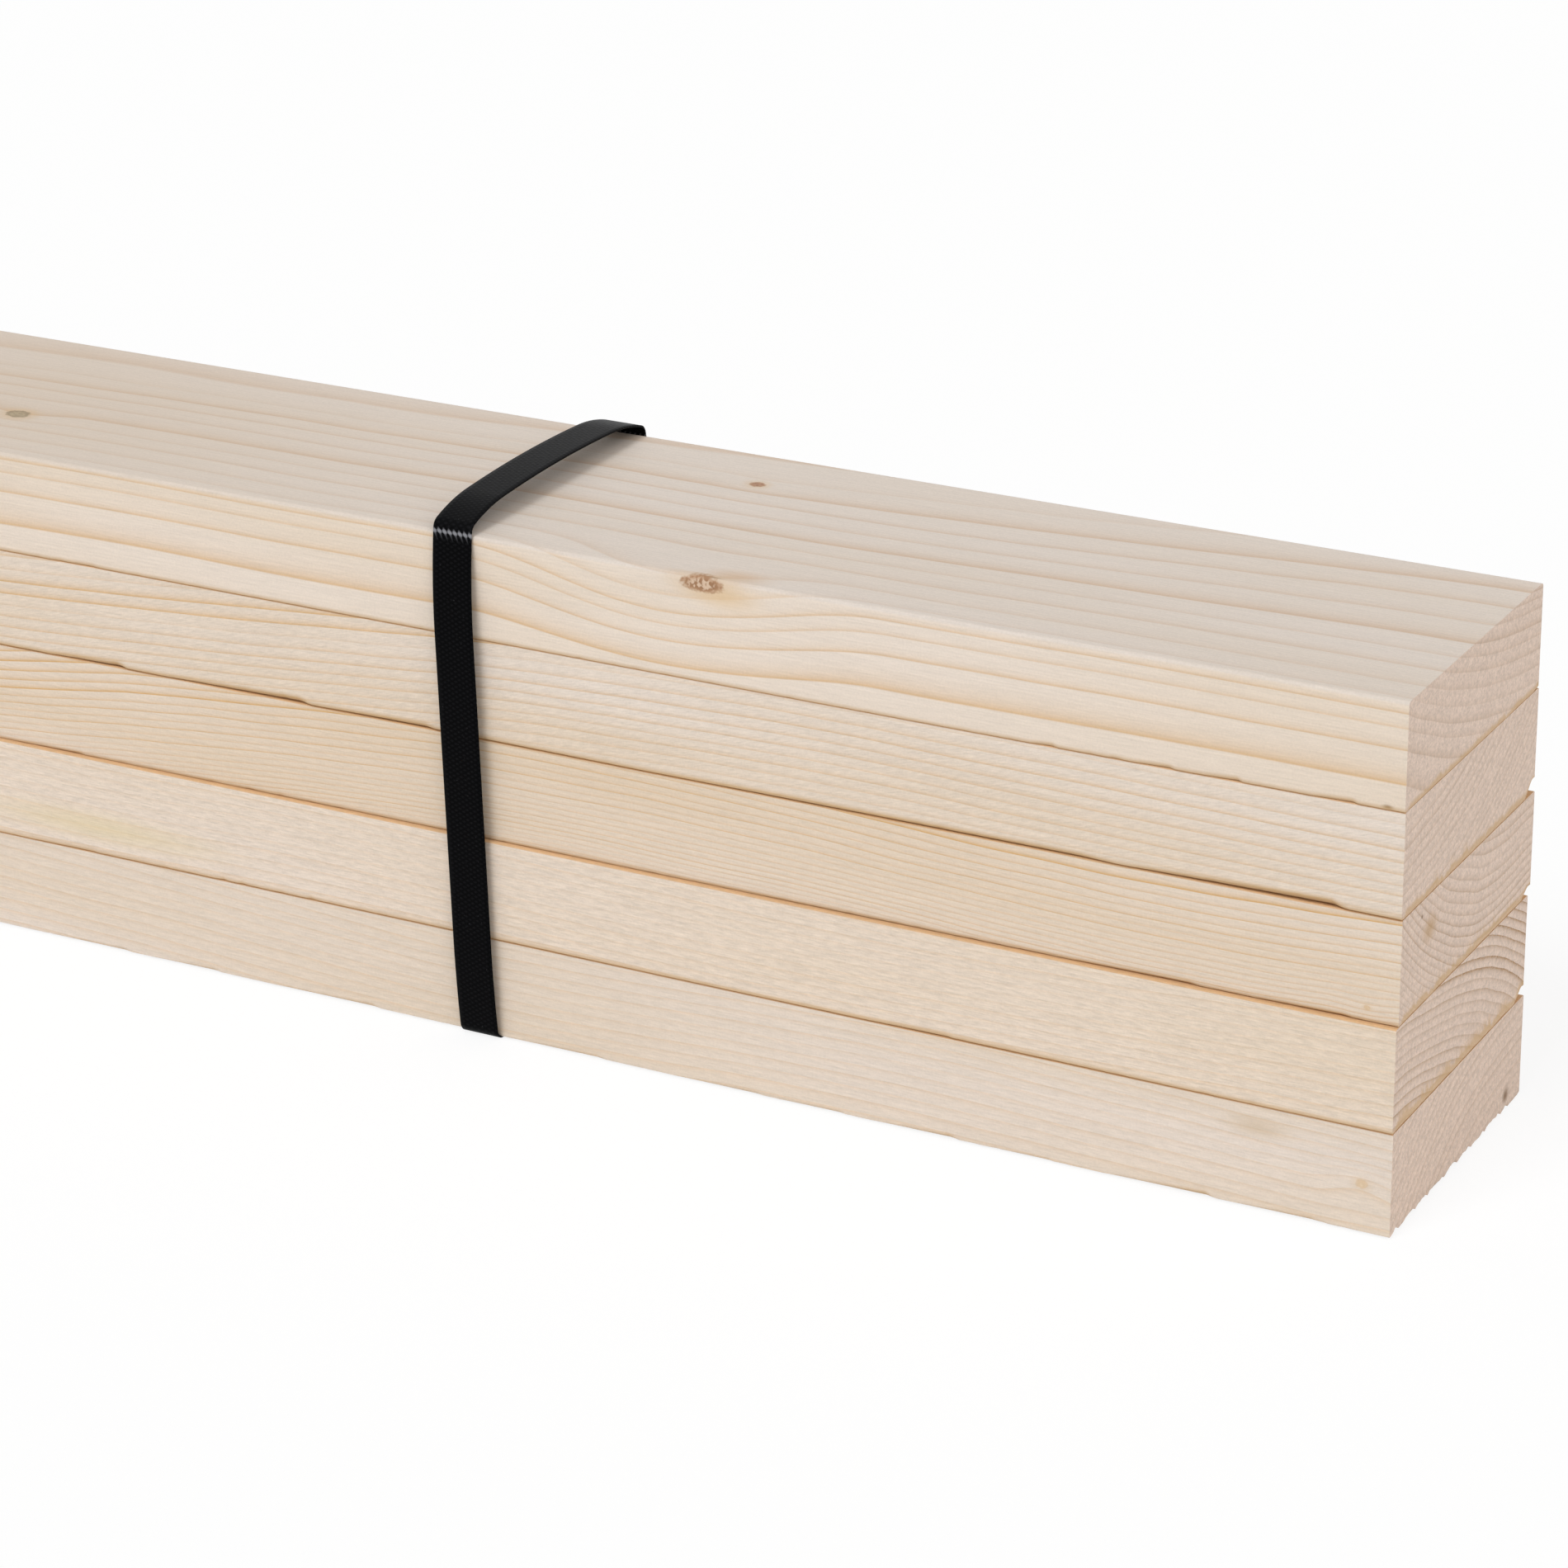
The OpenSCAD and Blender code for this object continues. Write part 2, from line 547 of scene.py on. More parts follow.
    def _radius(self) -> Socket:
        """Distance from the pith, with all that bends the rings.

        Returns:
            The distance.
        """
        bent = self.own
        stray = 0.0
        for spot, share in self.waves:
            wave = self._pattern(self.own, spot, self.pine.seed * self.wave_shift + spot[0], out=1)
            size = self.pine.wander * share * self.wave_gain
            stray += size / 2
            bent = self.put("VectorMath", (wave, (0.0, size, size), bent), operation="MULTIPLY_ADD")
        pith = (0.0, *(-place - stray for place in self.pine.pith))
        spoke = self.put("VectorMath", (bent, (0.0, 1.0, 1.0), pith), operation="MULTIPLY_ADD")
        radius = self.put("VectorMath", (spoke,), "Value", operation="LENGTH")
        along = self.put("SeparateXYZ", {"Vector": self.own}, "X")
        shifts = [self.put("MapRange", (along, sweep.start, sweep.end, -sweep.rise, 0.0),
                           interpolation_type="SMOOTHSTEP") for sweep in self.pine.sweeps]
        shifts += [self._patch(bend.at, bend.size, -bend.rise)
                   for bend in (*self.pine.bends, *(knot.bend for knot in self.pine.knots))]
        for shift in shifts:
            radius = self.put("Math", (radius, shift), operation="ADD")
        return radius

    def _rings(self) -> tuple[Socket, Socket, Socket]:
        """Work out where in a year's ring each point lies.

        Returns:
            Strength of the line there, how far through the year the ring is, and how dark its
            latewood is.
        """
        count = self.pine.rings.count(self, self._radius())
        number = self.put("Math", (count,), operation="FLOOR")
        young = self.put("Math", (count,), operation="FRACT")
        luck = self.put("Math", (number, self.pine.seed), operation="ADD")
        luck = self.put("TexWhiteNoise", {"W": luck}, 1, noise_dimensions="1D")
        dark = self.put("SeparateColor", {"Color": luck}, "Red")
        dark = self.put("MapRange", (dark, 0.0, 1.0, *self.dark_span))
        crisp = self.put("SeparateColor", {"Color": luck}, "Green")
        crisp = self.put("MapRange", (crisp, 0.0, 1.0, *self.pine.crisp))
        soft = self.soft
        for ring in self.pine.bold:
            chosen = self.put("Math", (number, float(ring), 0.5), operation="COMPARE")
            dark = self.put("Math", (chosen, self.bold_gain, dark), operation="MULTIPLY_ADD")
            soft = self.put("Mix", {0: chosen, 2: soft, 3: self.bold_soft}, 0, data_type="FLOAT")
        stop = self.put("MapRange", (young, *self.stop_span))
        dark = self.put("Math", (dark, stop), operation="MULTIPLY")
        sharp = self.put("Math", (young, crisp), operation="POWER")
        slow = self.put("Math", (young, self.slow), operation="POWER")
        line = self.put("Mix", {0: soft, 2: sharp, 3: slow}, 0, data_type="FLOAT")
        return self.put("Math", (line, dark), operation="MULTIPLY"), young, dark

    def _faces(self, line: Socket) -> Socket:
        """Colour of the planed faces.

        Args:
            line: Strength of the dark lines.

        Returns:
            The colour.
        """
        pine = self.pine
        cloud = self._pattern(self.own, self.cloud_mm, pine.seed * self.cloud_shift)
        cloud = self.put("MapRange", (cloud, *self.cloud_span))
        # Painted shade: faces that turn upwards take the golden or grey shade colour of the upper face
        upper = self.put("SeparateXYZ", {"Vector": self.normal}, "Z")
        upper = self.put("MapRange", (upper, *self.upper_span))
        upper_painted_shade = self.put("Math", (upper, pine.upper_shade_share), operation="MULTIPLY")
        faded = pine.contrast * (1 - self.upper_fade * pine.upper_shade_share)
        share = self.put("MapRange", (upper, 0.0, 1.0, pine.contrast, faded))
        line = self.put("Math", (line, share), operation="MULTIPLY")
        late = self.put("Mix", {0: upper, 6: self.late, 7: self.upper_shade_late}, 2,
                        data_type="RGBA")
        colour = pine.ground
        for share, over in ((cloud, pine.warm), (upper_painted_shade, pine.upper), (line, late)):
            colour = self.put("Mix", {0: share, 6: colour, 7: over}, 2, data_type="RGBA")
        speck = self.put("Math", (self.grit, 0.5), operation="SUBTRACT")
        light = 1.0
        for pattern, share in ((self.fibre, self.fibre_light), (self.fluff, self.fluff_light * pine.fuzz),
                               (speck, self.speck_light)):
            light = self.put("Math", (pattern, share, light), operation="MULTIPLY_ADD")
        return self.put("VectorMath", {0: colour, "Scale": light}, operation="SCALE")

    def _ends(self, face: Socket, young: Socket, dark: Socket) -> Socket:
        """Lay the duller end grain over the planed colour.

        Args:
            face: Colour of the planed faces.
            young: How far through the year the ring is.
            dark: How dark its latewood is.

        Returns:
            The colour.
        """
        line = self.put("Math", (young, self.end_crisp), operation="POWER")
        broken = self.put("MapRange", (self.grit, *self.broken_from, *self.broken_to))
        for share in (dark, broken, self.pine.end_contrast):
            line = self.put("Math", (line, share), operation="MULTIPLY")
        colour = self.put("Mix", {0: line, 6: self.end_ground, 7: self.end_late}, 2,
                          data_type="RGBA")
        coarse = self.put("SeparateColor", {"Color": self.ragged}, "Green")
        light = self.put("Math", (self.grit, coarse), operation="ADD")
        light = self.put("MapRange", (light, *self.sawn_from, *self.sawn_to))
        colour = self.put("VectorMath", {0: colour, "Scale": light}, operation="SCALE")
        return self.put("Mix", {0: self.sawn, 6: face, 7: colour}, 2, data_type="RGBA")

    def _knotted(self, colour: Socket, knot: Knot) -> Socket:
        """Lay a knot over the colour.

        Args:
            colour: Colour so far.
            knot: The branch.

        Returns:
            The colour with the knot.
        """
        look = knot.kind.value
        size = (knot.radius * knot.stretch, knot.radius, knot.radius)
        aim = Vector(knot.aim).normalized()
        shift = self.knot_stray / 2
        near = self.put("Mapping", {"Vector": self.own, "Scale": [1 / s for s in size],
                                    "Location": [-a / s - shift for a, s in zip(knot.at, size)]})
        near = self.put("VectorMath", (self.ragged, (self.knot_stray,) * 3, near),
                        operation="MULTIPLY_ADD")
        side = self.put("VectorMath", (near, aim), operation="CROSS_PRODUCT")
        side = self.put("VectorMath", (side,), "Value", operation="LENGTH")
        deep = self.put("VectorMath", (near, aim), "Value", operation="DOT_PRODUCT")
        deep = self.put("Math", (deep,), operation="ABSOLUTE")
        reach = knot.reach / knot.radius
        shown = self.put("MapRange", (deep, reach, self.knot_fade * reach))
        halo = self.put("MapRange", (side, *self.halo_span, 0.0, look.halo), interpolation_type="SMOOTHSTEP")
        halo = self.put("Math", (halo, shown), operation="MULTIPLY")
        fleck = self.put("SeparateColor", {"Color": self.ragged}, "Blue")
        fleck = self.put("MapRange", (fleck, *self.fleck_span))
        edge = self.put("MapRange", (side, *self.rim_span))
        inside = self.put("MapRange", (side, *self.inside_span, 0.0, look.cover))
        inside = self.put("Math", (inside, shown), operation="MULTIPLY")
        core = look.core
        for share, over in ((fleck, look.fleck), (edge, look.rim)):
            core = self.put("Mix", {0: share, 6: core, 7: over}, 2, data_type="RGBA")
        for share, over in ((halo, self.resin_colour), (inside, core)):
            colour = self.put("Mix", {0: share, 6: colour, 7: over}, 2, data_type="RGBA")
        return colour


@dataclass(frozen=True)
class Tear:
    """A scallop torn out of a lower arris, deeper and deeper until the splinter broke off.

    Attributes:
        start: Where it begins, along the stud.
        length: How long it is.
        depth: How high it reaches up the face.
    """
    start: float
    length: float
    depth: float

    growth = 0.7
    end_share = 0.9

    def at(self, x: float) -> float:
        """Height of the scallop at a place along the stud."""
        share = (x - self.start) / self.length
        if not 0 < share < 1:
            return 0.0
        return self.depth * share ** self.growth * (1 - ease(share, self.end_share, 1.0))


class Side(Enum):
    """Long side of a stud, with the sign of its Y."""
    FRONT = -1
    BACK = 1


@dataclass
class Stud:
    """One planed stud: a long block with rounded upper arrises and nibbled lower ones.

    Attributes:
        node: Node of the frame that the stud stands for.
        seed: Seed of its wear.
        gap: Places along the front of its underside, each with how far it lifts off the stud below.
        nibble: Depth of the nibbles along its lower arrises.
        fray: Height of the torn band along the lower edge of its ends.
        pine: Its wood.
        front_tears: Scallops at the front.
        lost: Share of the torn band that is lost; the rest stays as loose fibre.
        tooth: Pitch of the scallops in that band, or zero for a plain fray.
        corner: Height of the piece broken off the back lower corner of the right end.
        top_arris: Radius of its upper arrises.
    """
    node: str
    seed: int
    gap: tuple[Pair, ...]
    nibble: float
    fray: float
    pine: Pine
    front_tears: tuple[Tear, ...]
    lost: float = 0.12
    tooth: float = 0.0
    corner: float = 0.0
    top_arris: float = 0.6
    low: Vector = field(init=False)
    high: Vector = field(init=False)

    slot = "planed_pine"
    low_arris = 0.25
    top_steps = 4
    low_steps = 2
    slice_mm = 2.0
    column_mm = 1.0
    # Loops that hold the arrises and the torn bands, from the side, the bottom and the end
    side_loops = (2.0, 3.5, 8.0, 30.0)
    bottom_loops = (0.8, 1.6, 2.4, 3.4, 7.0)
    top_loops = (3.0,)
    end_loops = (6.0, 3.0, 1.2)
    loop_slack = 0.1
    # How far wear reaches into the stud, and the step, length and depth of its scallops
    tear_reach = 7.0
    tear_step = (50.0, 380.0)
    tear_l = (18.0, 80.0)
    tear_depth = (0.8, 1.8)
    tear_rough = 0.35
    gap_reach = 5.0
    back_gap = 0.5
    gap_wave_mm = 110.0
    gap_wave = (0.85, 0.3)
    # Nibbles, the rough stretches that they are deepest in, and their depth elsewhere
    nibble_mm = 4.3
    rough_mm = 80.0
    rough_from = 0.5
    calm_share = 0.25
    # Torn bands of the ends: coarse and fine waves with their shares, the front corner that stays
    # whole, and the scallops of a toothed band
    fray_mm = (9.0, 2.2)
    fray_shares = (0.75, 0.5, 0.35)
    corner_room = 5.0
    tooth_gain = 1.6
    tooth_stray = 0.9
    broken_corner = (9.0, 2.0)
    # Share of torn fibre, which along the seams is painted shade, what a wide gap adds to that painted
    # shade, and how far it runs up past the wear
    torn_and_shade_share = 0.8
    gap_torn_and_shade = 0.2
    gap_torn_and_shade_rise = 1.5
    tear_torn_rise = 0.6
    fray_torn_rise = 0.8
    sharp_deg = 38.0

    def __post_init__(self) -> None:
        """Take the stud's place from the frame, and lay out its wear."""
        self.low, self.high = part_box(self.node)
        draw = random.Random(self.seed)
        self.tears = {Side.FRONT: list(self.front_tears), Side.BACK: []}
        for side in Side:
            limit = min([0.5 * self.size.x] + [tear.start for tear in self.tears[side]]) - self.tear_l[1]
            x = draw.uniform(*self.tear_step) - 0.5 * self.size.x
            while x < limit:
                length = draw.uniform(*self.tear_l)
                self.tears[side].append(Tear(x, length, draw.uniform(*self.tear_depth) * self.nibble))
                x += draw.uniform(*self.tear_step)

    @property
    def size(self) -> Vector:
        """Length, width and thickness in millimetres."""
        return (self.high - self.low) / MM

    @property
    def centre(self) -> Vector:
        """Middle of the stud in metres."""
        return (self.high + self.low) / 2

    def build(self) -> bpy.types.Object:
        """Model, wear and dress the stud.

        Returns:
            The finished piece.
        """
        bm = self._block()
        self._fringe(bm)
        torn_and_shade = bm.verts.layers.float.new("torn_and_shade")
        for vert in bm.verts:
            vert[torn_and_shade] = self._wear(vert)
        bmesh.ops.scale(bm, vec=(MM,) * 3, verts=bm.verts)
        bmesh.ops.translate(bm, vec=self.centre, verts=bm.verts)
        finish = self.pine.material("planed_pine_" + self.node, self.centre)
        return keep_piece(bm, self.node, finish, self.sharp_deg)

    def _block(self) -> bmesh.types.BMesh:
        """Block with its arrises and the loops along it.

        Returns:
            The mesh, in the stud's own frame.
        """
        bm = bmesh.new()
        bmesh.ops.create_cube(bm, size=1.0)
        bmesh.ops.scale(bm, vec=self.size, verts=bm.verts)
        arrises = ((1, self.top_arris, self.top_steps), (-1, self.low_arris, self.low_steps))
        for level, radius, steps in arrises:
            edges = [e for e in bm.edges if self._runs(e, 0) and e.verts[0].co.z * level > 0]
            bmesh.ops.bevel(bm, geom=edges, offset=radius, offset_type="OFFSET", segments=steps,
                            profile=0.5, affect="EDGES", material=-1)
        half = self.size / 2
        loops = [(1, sign * (half.y - d)) for d in self.side_loops for sign in (-1, 1)]
        loops += [(2, d - half.z) for d in self.bottom_loops]
        loops += [(2, half.z - d) for d in self.top_loops]
        loops += [(0, sign * (half.x - d)) for d in self.end_loops for sign in (-1, 1)]
        for axis, place in loops:
            normal = Vector((0, 0, 0))
            normal[axis] = 1
            bmesh.ops.bisect_plane(bm, geom=bm.verts[:] + bm.edges[:] + bm.faces[:], dist=TINY,
                                   plane_co=normal * place, plane_no=normal)
        run = [e for e in bm.edges if self._runs(e, 0) and e.calc_length() > half.x]
        cuts = round(run[0].calc_length() / self.slice_mm) - 1
        bmesh.ops.subdivide_edges(bm, edges=run, cuts=cuts, use_grid_fill=True)
        return bm

    def _runs(self, edge: bmesh.types.BMEdge, axis: int) -> bool:
        """Whether an edge runs along an axis."""
        a, b = (v.co for v in edge.verts)
        return abs(abs((b - a)[axis]) - (b - a).length) < TINY

    def _fringe(self, bm: bmesh.types.BMesh) -> None:
        """Cut the ends into narrow columns, so that their lower edges can fray.

        Args:
            bm: Mesh of the stud.
        """
        inner = self.size.x / 2 - self.end_loops[1] - self.loop_slack
        columns = defaultdict(list)
        for edge in bm.edges:
            if self._runs(edge, 1) and abs(edge.verts[0].co.x) > inner:
                columns[round(edge.calc_length() / self.column_mm) - 1].append(edge)
        for cuts, edges in columns.items():
            if cuts > 0:
                bmesh.ops.subdivide_edges(bm, edges=edges, cuts=cuts, use_grid_fill=True)

    def _noise(self, place: float, row: float, shift: int) -> float:
        """Uneven value at a place, in a row of this stud's own pattern."""
        return noise.noise((place, row, self.seed + shift))

    def _gap(self, side: Side, x: float) -> float:
        """How far the underside lifts off the stud below.

        Args:
            side: Long side of the stud.
            x: Place along the stud.

        Returns:
            The height.
        """
        if not self.gap:
            return 0.0
        level, swing = self.gap_wave
        wave = level + swing * self._noise(x / self.gap_wave_mm, side.value, 3)
        if side is Side.BACK:
            return self.back_gap * wave
        for (a, low), (b, high) in zip(self.gap, self.gap[1:]):
            if x <= b:
                return wave * (low + (high - low) * max(0.0, x - a) / (b - a))
        return wave * self.gap[-1][1]

    def _side_tear(self, side: Side, x: float) -> float:
        """Height that is torn off a lower arris.

        Args:
            side: Long side of the stud.
            x: Place along the stud.

        Returns:
            The height.
        """
        fine = max(0.0, self._noise(x / self.nibble_mm, side.value * 3.0, 0))
        rough = ease(self._noise(x / self.rough_mm, side.value * 5.0, 7), 0.0, self.rough_from)
        depth = self.nibble * fine * (self.calm_share + rough)
        return max([depth] + [tear.at(x) * (1 + self.tear_rough * fine) for tear in self.tears[side]])

    def _end_tear(self, right: bool, y: float) -> float:
        """Height that the saw tore off the lower edge of an end.

        Args:
            right: Whether it is the right end.
            y: Place across the stud.

        Returns:
            The height.
        """
        shift = 20 if right else 40
        coarse_mm, fine_mm = self.fray_mm
        level, coarse, fine = self.fray_shares
        depth = self.fray * (level + coarse * self._noise(y / coarse_mm, 0.0, shift)
                             + fine * self._noise(y / fine_mm, 4.0, shift))
        depth *= ease(self.size.y / 2 + y, 0.0, self.corner_room)
        if self.tooth:
            stray = self.tooth_stray * self._noise(y / coarse_mm, 8.0, shift)
            depth *= self.tooth_gain * ((y / self.tooth + stray) % 1.0)
        return max(0.0, depth)

    def _wear(self, vert: bmesh.types.BMVert) -> float:
        """Move a point of the surface by its wear.

        Args:
            vert: Point of the mesh, in the stud's own frame.

        Returns:
            Share of torn fibre, and of painted shade along the seams, that shows there.
        """
        x, y, z = vert.co
        half = self.size / 2
        up = z + half.z
        if up > self.tear_reach:
            return 0.0
        side = Side.FRONT if y < 0 else Side.BACK
        deep = half.y - abs(y)
        back = half.x - abs(x)
        low = fade(up, self.tear_reach)
        gap = self._gap(side, x)
        lift = gap * fade(deep, self.gap_reach) * low
        torn_and_shade = 0.0
        # Painted shade: along a seam the lower arris takes the torn colour, more where the gap is wider
        if self.gap:
            torn_and_shade = self.torn_and_shade_share + self.gap_torn_and_shade * min(1.0, gap)
            torn_and_shade *= fade(deep, self.gap_reach) * fade(up, gap + self.gap_torn_and_shade_rise)
        if deep < self.tear_reach:
            depth = self._side_tear(side, x)
            turn = part_of(deep, up)
            lift += depth * (1 - turn) * low
            vert.co.y -= side.value * depth * turn * fade(deep, self.tear_reach)
            torn_and_shade = max(torn_and_shade, self.torn_and_shade_share * min(1.0, depth) * fade(up, depth + self.tear_torn_rise))
        if back < self.end_loops[0] - self.loop_slack:
            depth = self._end_tear(x > 0, y)
            gone = self.lost * depth
            if x > 0:
                start, end = (half.y - d for d in self.broken_corner)
                gone = max(gone, self.corner * ease(y, start, end))
            turn = part_of(back, up)
            lift += gone * (1 - turn) * low
            vert.co.x -= math.copysign(gone * turn * fade(back, self.end_loops[0]), x)
            rise = self.fray_torn_rise
            frayed = (self.torn_and_shade_share - self.lost) * min(1.0, depth)
            torn_and_shade = max(torn_and_shade, frayed * ease(depth + rise - up, 0.0, 2 * rise))
        vert.co.z += lift
        return torn_and_shade


@dataclass(frozen=True)
class StrapPlastic:
    """Polyester strapping, extruded, embossed with fine lozenges and coloured black.

    The eye gets a satin black that greys where it turns up to the light, with tiny pale ticks
    painted along the fold at the top as its highlight.
    """
    colour: str = "#010102"
    # Ridge tops a little lighter: painted sheen of the embossing
    ridge_sheen_colour: str = "#101012"
    dust_colour: str = "#3a3a3d"
    # Painted highlight of the fold
    highlight_colour: str = "#85858a"
    lozenge_mm: float = 1.6
    lozenge_deg: float = 58.0
    tick_mm: float = 1.9
    tick_deg: float = 24.0
    speck_mm: float = 1.3
    bump: float = 0.35
    bump_mm: float = 0.1
    # Height of the specks that show as dust, and how far dust covers the black
    dust_from: Pair = (0.72, 0.82)
    dust_to: Pair = (0.0, 0.5)
    # Height above which a tick shows, from the flat band to the fold, and how soft its edge is
    tick_low: Pair = (0.8, -0.15)
    tick_soft: Pair = (0.0, 0.6)
    rough: Pair = (0.34, 0.5)
    ior: float = 1.5
    gloss: float = 0.035

    def material(self, name: str) -> bpy.types.Material:
        """Build the strap's plastic.

        Args:
            name: Name of the material.

        Returns:
            The material.
        """
        finish = bpy.data.materials.new(name)
        nodes = Nodes(finish)
        band = nodes.put("Attribute", {}, "Vector", attribute_name="band", attribute_type="GEOMETRY")
        ridges = [self._wave(nodes, band, self.lozenge_mm, way * self.lozenge_deg) for way in (1, -1)]
        height = nodes.put("Math", tuple(ridges), operation="MULTIPLY")
        bump = nodes.put("Bump", {"Height": height, "Strength": self.bump, "Distance": self.bump_mm * MM})
        specks = nodes.put("TexNoise", {"Vector": band, "Scale": 1 / self.speck_mm, "Detail": 1.0})
        dust = nodes.put("MapRange", (specks, *self.dust_from, *self.dust_to))
        # Painted highlight: pale ticks along the fold
        fold = nodes.put("Attribute", {}, "Fac", attribute_name="fold", attribute_type="GEOMETRY")
        ticks = self._wave(nodes, band, self.tick_mm, self.tick_deg)
        low = nodes.put("MapRange", (fold, 0.0, 1.0, *self.tick_low))
        ticks = nodes.put("Math", (ticks, low), operation="SUBTRACT")
        highlight = nodes.put("MapRange", (ticks, *self.tick_soft))
        highlight = nodes.put("Math", (highlight, fold), operation="MULTIPLY")
        colour = self.colour
        for share, over in ((height, self.ridge_sheen_colour), (dust, self.dust_colour),
                            (highlight, self.highlight_colour)):
            colour = nodes.put("Mix", {0: share, 6: colour, 7: over}, 2, data_type="RGBA")
        rough = nodes.put("MapRange", (specks, 0.0, 1.0, *self.rough))
        shader = nodes.put("BsdfPrincipled", {"Base Color": colour, "Roughness": rough, "Normal": bump,
                                              "IOR": self.ior, "Specular IOR Level": self.gloss})
        nodes.put("OutputMaterial", {"Surface": shader})
        return finish

    def _wave(self, nodes: Nodes, band: Socket, pitch: float, turn_deg: float) -> Socket:
        """Soft ridges across the band.

        Args:
            nodes: Nodes of the plastic.
            band: Place across and along the band.
            pitch: Distance from ridge to ridge.
            turn_deg: Slant of the ridges against the band's length.

        Returns:
            Height of the ridges, from 0 to 1.
        """
        turned = nodes.put("Mapping", {"Vector": band, "Rotation": (0.0, 0.0, math.radians(turn_deg))})
        # A wave texture repeats after a tenth of pi, over its scale
        return nodes.put("TexWave", {"Vector": turned, "Scale": 0.1 * math.pi / pitch}, 1, wave_type="BANDS",
                         bands_direction="X")


@dataclass
class Strap:
    """One plastic strap: a band that folds round the pile, arches over it and is welded at the back.

    The sizes repeat those of the frame's own strap.

    Attributes:
        node: Node of the frame that the strap stands for.
        way: Sign of the end that it is near.
        finish: Its plastic.
    """
    node: str
    way: int
    finish: bpy.types.Material
    width: float = 15.5
    thick: float = 0.8
    room: float = 0.1
    low_room: float = 2.0
    belly: float = 3.2
    swing_share: float = 0.2
    arch: float = 8.6
    shoulder: float = 22.0
    top_fold_share: float = 0.38
    top_fold_rise_share: float = 0.05
    crown_share: float = 0.2
    lap: float = 45.0
    drift: float = 4.2
    inset: float = 351.0
    arris: float = 1.5
    lift_l: float = 12.0

    slot = "strap_plastic"
    step_mm = 0.6
    least_steps = 6
    # Where the painted highlight of the fold lies, as the slope of its face and the half width of the mark
    highlight_deg = (-3.0, 20.0)
    highlight_gain = 1.4
    # Below it the painted highlight ticks die away
    low_highlight_l = 3.6
    low_highlight = 0.45
    across_cells = 8
    edge_r = 0.2
    sharp_deg = 50.0

    def __post_init__(self) -> None:
        """Take the pile's place from the frame."""
        self.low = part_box("stud_1")[0] / MM
        self.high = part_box("stud_5")[1] / MM
        self.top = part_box(self.node)[1].z / MM
        self.top_fold_r = self.arch * self.top_fold_share
        self.top_fold = Vector((self.high.y + self.room - self.top_fold_r,
                                self.high.z + self.arch * self.top_fold_rise_share))
        self.path = self._loop()
        self.marks = [0.0]
        for a, b in zip(self.path, self.path[1:]):
            self.marks.append(self.marks[-1] + (b - a).length)

    def _leave(self, fold: Vector, fold_r: float, point: Vector,
               normal: Vector) -> tuple[Vector, float, float]:
        """Wide arc that leaves a fold and comes to a point.

        Args:
            fold: Middle of the fold.
            fold_r: Radius of the fold.
            point: Where the arc ends.
            normal: Outward normal of the arc there.

        Returns:
            Middle and radius of the arc, and the direction of the fold from that middle.
        """
        way = point - fold
        radius = (way.dot(way) - fold_r ** 2) / (2 * (way.dot(normal) - fold_r))
        middle = point - radius * normal
        back = fold - middle
        return middle, radius, math.degrees(math.atan2(back.y, back.x))

    def _arc(self, middle: Vector, radius: float, start_deg: float, end_deg: float) -> list[Vector]:
        """Points of an arc, with its last point left to the next stretch.

        Args:
            middle: Middle of the arc.
            radius: Its radius.
            start_deg: Direction of its first point.
            end_deg: Direction of its last point.

        Returns:
            The points.
        """
        length = abs(math.radians(end_deg - start_deg)) * radius
        steps = max(self.least_steps, round(length / self.step_mm))
        turns = [math.radians(start_deg + (end_deg - start_deg) * k / steps) for k in range(steps)]
        return [middle + radius * Vector((math.cos(t), math.sin(t))) for t in turns]

    def _loop(self) -> list[Vector]:
        """Inner outline of the band seen along the studs, from its lap at the back and round the top.

        Returns:
            Points across and up, in order.
        """
        half = self.high.y
        swing = self.swing_share * (self.high.z - self.low.z)
        low_r = self.arris + self.low_room
        low_fold = Vector((half - self.arris, self.low.z - self.room + low_r))
        middle = Vector((half + self.room + self.belly, (self.low.z + self.high.z) / 2))
        foot = Vector((middle.x, self.low.z + swing))
        head = Vector((middle.x, self.high.z - swing))
        low_mid, low_swing_r, low_deg = self._leave(low_fold, low_r, foot, Vector((1, 0)))
        top_mid, top_swing_r, top_deg = self._leave(self.top_fold, self.top_fold_r, head, Vector((1, 0)))
        turn = 2 * math.atan(self.arch * self.crown_share / half)
        crown_r = (half - self.shoulder) / math.sin(turn)
        crown = Vector((0, self.high.z + self.arch))
        crown_mid = crown - Vector((0, crown_r))
        crown_deg = 90 - math.degrees(turn)
        normal = Vector((math.sin(turn), math.cos(turn)))
        bow_end = crown_mid + crown_r * normal
        bow_mid, bow_r, bow_deg = self._leave(self.top_fold, self.top_fold_r, bow_end, normal)
        upper = self._arc(top_mid, top_swing_r, 0, top_deg)
        upper += self._arc(self.top_fold, self.top_fold_r, top_deg, bow_deg)
        upper += self._arc(bow_mid, bow_r, bow_deg, crown_deg)
        upper += self._arc(crown_mid, crown_r, crown_deg, 90)
        lower = self._arc(low_fold, low_r, -90, low_deg)
        lower += self._arc(low_mid, low_swing_r, low_deg, 0) + [foot]
        over, under = ([Vector((-p.x, p.y)) for p in reversed(part)] for part in (upper, lower))
        return [middle] + upper + [crown] + over + under + lower + [middle]

